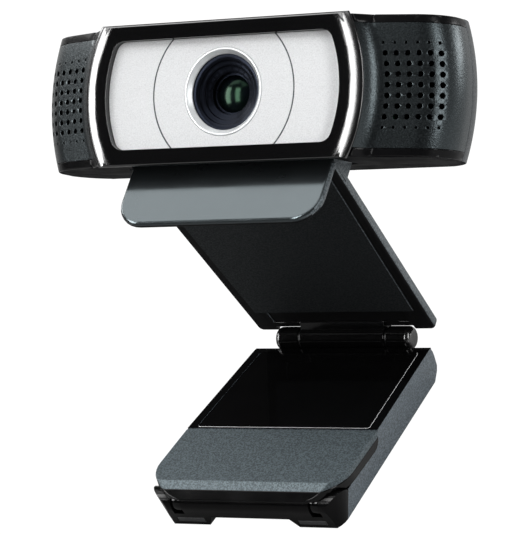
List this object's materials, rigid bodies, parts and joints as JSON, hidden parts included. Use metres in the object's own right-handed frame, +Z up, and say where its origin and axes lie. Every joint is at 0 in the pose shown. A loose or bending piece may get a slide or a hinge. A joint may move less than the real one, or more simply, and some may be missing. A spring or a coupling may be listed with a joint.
{
  "type": "webcam",
  "caption": "Wide webcam head on a folding monitor clip: tilting head, folding arm with a lip, and a base arm with a swinging foot and a tripod socket.",
  "frame": {"origin": "mouth of the tripod socket in the underside of the lower arm", "axes": "+Z up, out of the face the clip stands on; +X to the right of someone who looks into the lens; the lens looks towards -Y and up"},
  "size_m": [0.0892, 0.0612, 0.0867],
  "materials": {
    "gloss_black": "gloss black moulded plastic",
    "rear_shell": "satin black moulded plastic",
    "plate_silver": "satin silver, fine grain",
    "ring_metal": "turned and polished",
    "hood_black": "semi gloss black",
    "grille_charcoal": "finely textured charcoal",
    "capsule": "satin",
    "seal_rubber": "matt",
    "lens_glass": "coated glass",
    "filter_glass": "coated glass",
    "copper": "enamelled copper wire",
    "sensor": "gloss",
    "board": "solder mask green",
    "chip": "matt black",
    "socket_white": "matt ivory",
    "steel": "plated steel",
    "arm_grey": "satin dark grey",
    "pad_rubber": "matt black rubber",
    "foot_grey": "matt grey, fine grain",
    "carrier_black": "satin black",
    "panel_black": "high gloss black",
    "brass": "machined brass"
  },
  "bodies": {
    "lower_arm": {"lower_arm_shell": "gloss_black", "arm_panel": "panel_black", "fold_pin": "steel", "fold_washers": "steel", "thread_insert": "brass", "arm_screws": "steel", "foot_pin": "steel", "foot_bumpers": "pad_rubber"},
    "upper_arm": {"upper_arm": "arm_grey", "upper_pad": "pad_rubber"},
    "camera_head": {"front_frame": "gloss_black", "rear_cover": "rear_shell", "bezel": "gloss_black", "face_plate": "plate_silver", "lens_ring": "ring_metal", "lens_hood": "hood_black", "left_grille": "grille_charcoal", "right_grille": "grille_charcoal", "left_microphone": "capsule", "right_microphone": "capsule", "mic_gaskets": "seal_rubber", "lens_holder": "hood_black", "infrared_filter": "filter_glass", "image_sensor": "sensor", "main_board": "board", "board_chips": "chip", "cable_socket": "socket_white", "housing_screws": "steel", "cable_gland": "seal_rubber", "tilt_pin": "steel", "tilt_washers": "steel"},
    "lens_unit": {"lens_barrel": "hood_black", "front_lens": "lens_glass", "rear_lens": "lens_glass", "focus_coil": "copper"},
    "foot": {"foot_carrier": "carrier_black", "foot_pad": "foot_grey"}
  },
  "joints": [
    {"name": "fold", "type": "hinge", "parent": "lower_arm", "child": "upper_arm", "pos_m": [0, 0.0196, 0.0107], "axis": [-1, 0, 0], "range_deg": [-48, 110]},
    {"name": "head_tilt", "type": "hinge", "parent": "upper_arm", "child": "camera_head", "pos_m": [0, 0.00386, 0.0616], "axis": [1, 0, 0], "range_deg": [-30, 6]},
    {"name": "foot_swing", "type": "hinge", "parent": "lower_arm", "child": "foot", "pos_m": [0, -0.0298, 0.0052], "axis": [1, 0, 0], "range_deg": [0, 55]},
    {"name": "focus", "type": "slide", "parent": "camera_head", "child": "lens_unit", "axis": [0, -0.8251, 0.565], "range_m": [0, 0.0003], "stiffness_N_per_m": 100}
  ]
}
